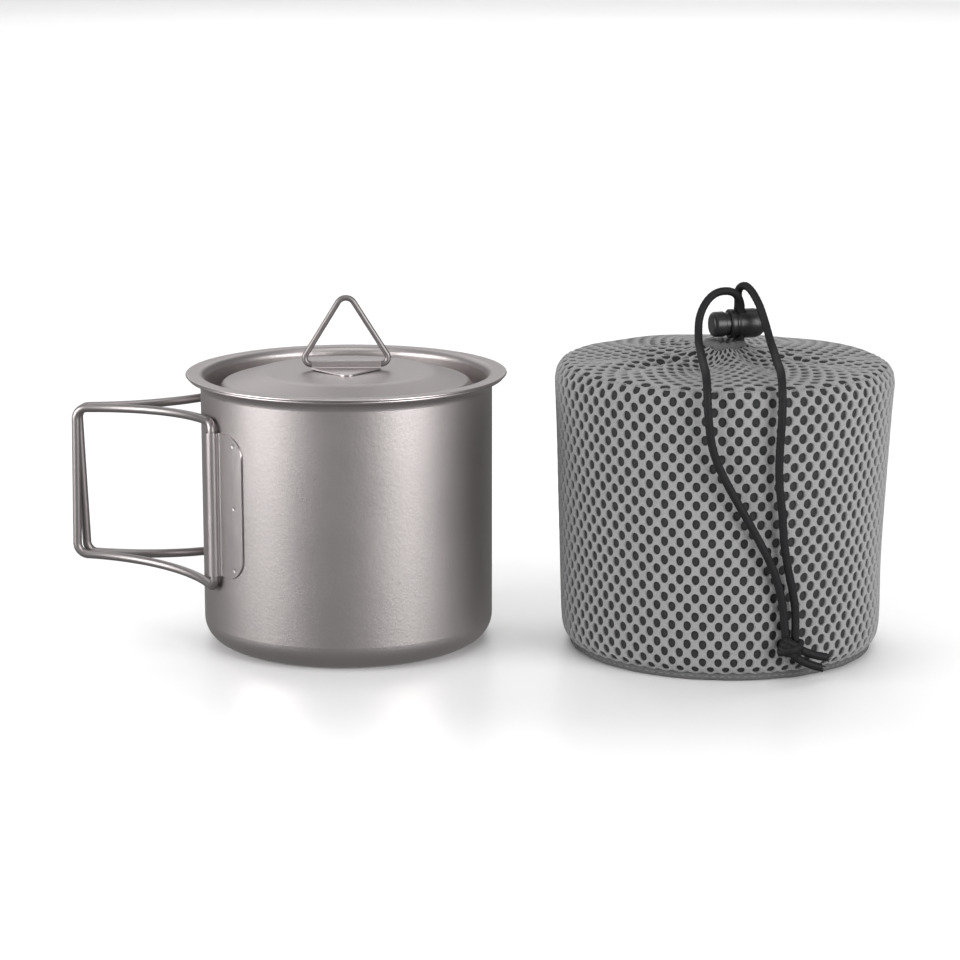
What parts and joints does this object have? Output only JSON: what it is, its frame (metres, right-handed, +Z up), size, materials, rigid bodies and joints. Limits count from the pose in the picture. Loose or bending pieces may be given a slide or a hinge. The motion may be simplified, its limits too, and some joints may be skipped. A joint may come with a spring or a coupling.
{
  "type": "camping pot set",
  "caption": "Camping pot set: a straight-sided titanium pot with folding wire handles, a recessed lid with a folding bail, and a mesh storage bag with a drawcord and spring lock.",
  "frame": {"origin": "centre of the pot's base, on the surface it stands on", "axes": "+Z up, the folding handles point to -X, and the bag stands beside the pot on +X"},
  "size_m": [0.2839, 0.121, 0.1255],
  "materials": {
    "titanium": "bead-blasted titanium",
    "titanium_wire": "satin titanium wire",
    "spacer_mesh": "grey spacer mesh",
    "binding": "woven polyester tape",
    "cord": "braided polyester cord",
    "black_plastic": "moulded acetal",
    "spring_steel": "drawn spring wire"
  },
  "bodies": {
    "pot": {"pot_shell": "titanium", "front_handle_bracket": "titanium", "rear_handle_bracket": "titanium"},
    "front_handle_body": {"front_handle": "titanium_wire"},
    "rear_handle_body": {"rear_handle": "titanium_wire"},
    "lid": {"lid_shell": "titanium", "lid_bail_bracket": "titanium"},
    "bail": {"lid_bail": "titanium_wire"},
    "bag": {"bag_side_panel": "spacer_mesh", "bag_base_panel": "spacer_mesh", "bag_base_binding": "binding", "bag_cord_channel": "binding", "drawcord_in_channel": "cord", "drawcord_left": "cord", "drawcord_right": "cord", "drawcord_knot": "cord", "drawcord_tails": "cord", "cord_lock_barrel": "black_plastic", "cord_lock_spring": "spring_steel"},
    "lock_plunger": {"cord_lock_plunger": "black_plastic"}
  },
  "joints": [
    {"name": "front_handle_fold", "type": "hinge", "parent": "pot", "child": "front_handle_body", "pos_m": [-0.04142, -0.03178, 0.0528], "axis": [0, 0, 1], "range_deg": [0, 191]},
    {"name": "rear_handle_fold", "type": "hinge", "parent": "pot", "child": "rear_handle_body", "pos_m": [-0.04142, 0.03178, 0.0528], "axis": [0, 0, -1], "range_deg": [0, 191]},
    {"name": "lid_lift", "type": "slide", "parent": "pot", "child": "lid", "axis": [0, 0, 1], "range_m": [0, 0.06]},
    {"name": "bail_fold", "type": "hinge", "parent": "lid", "child": "bail", "pos_m": [0, 0, 0.0958], "axis": [0.9907, 0.1357, 0], "range_deg": [-91, 91]},
    {"name": "bag_lift", "type": "slide", "parent": "pot", "child": "bag", "axis": [0, 0, 1], "range_m": [0, 0.12]},
    {"name": "lock_press", "type": "slide", "parent": "bag", "child": "lock_plunger", "axis": [0.9397, 0.342, 0], "range_m": [0, 0.0012], "stiffness_N_per_m": 1500, "springref_m": -0.001, "deforming": ["cord_lock_spring"]}
  ]
}
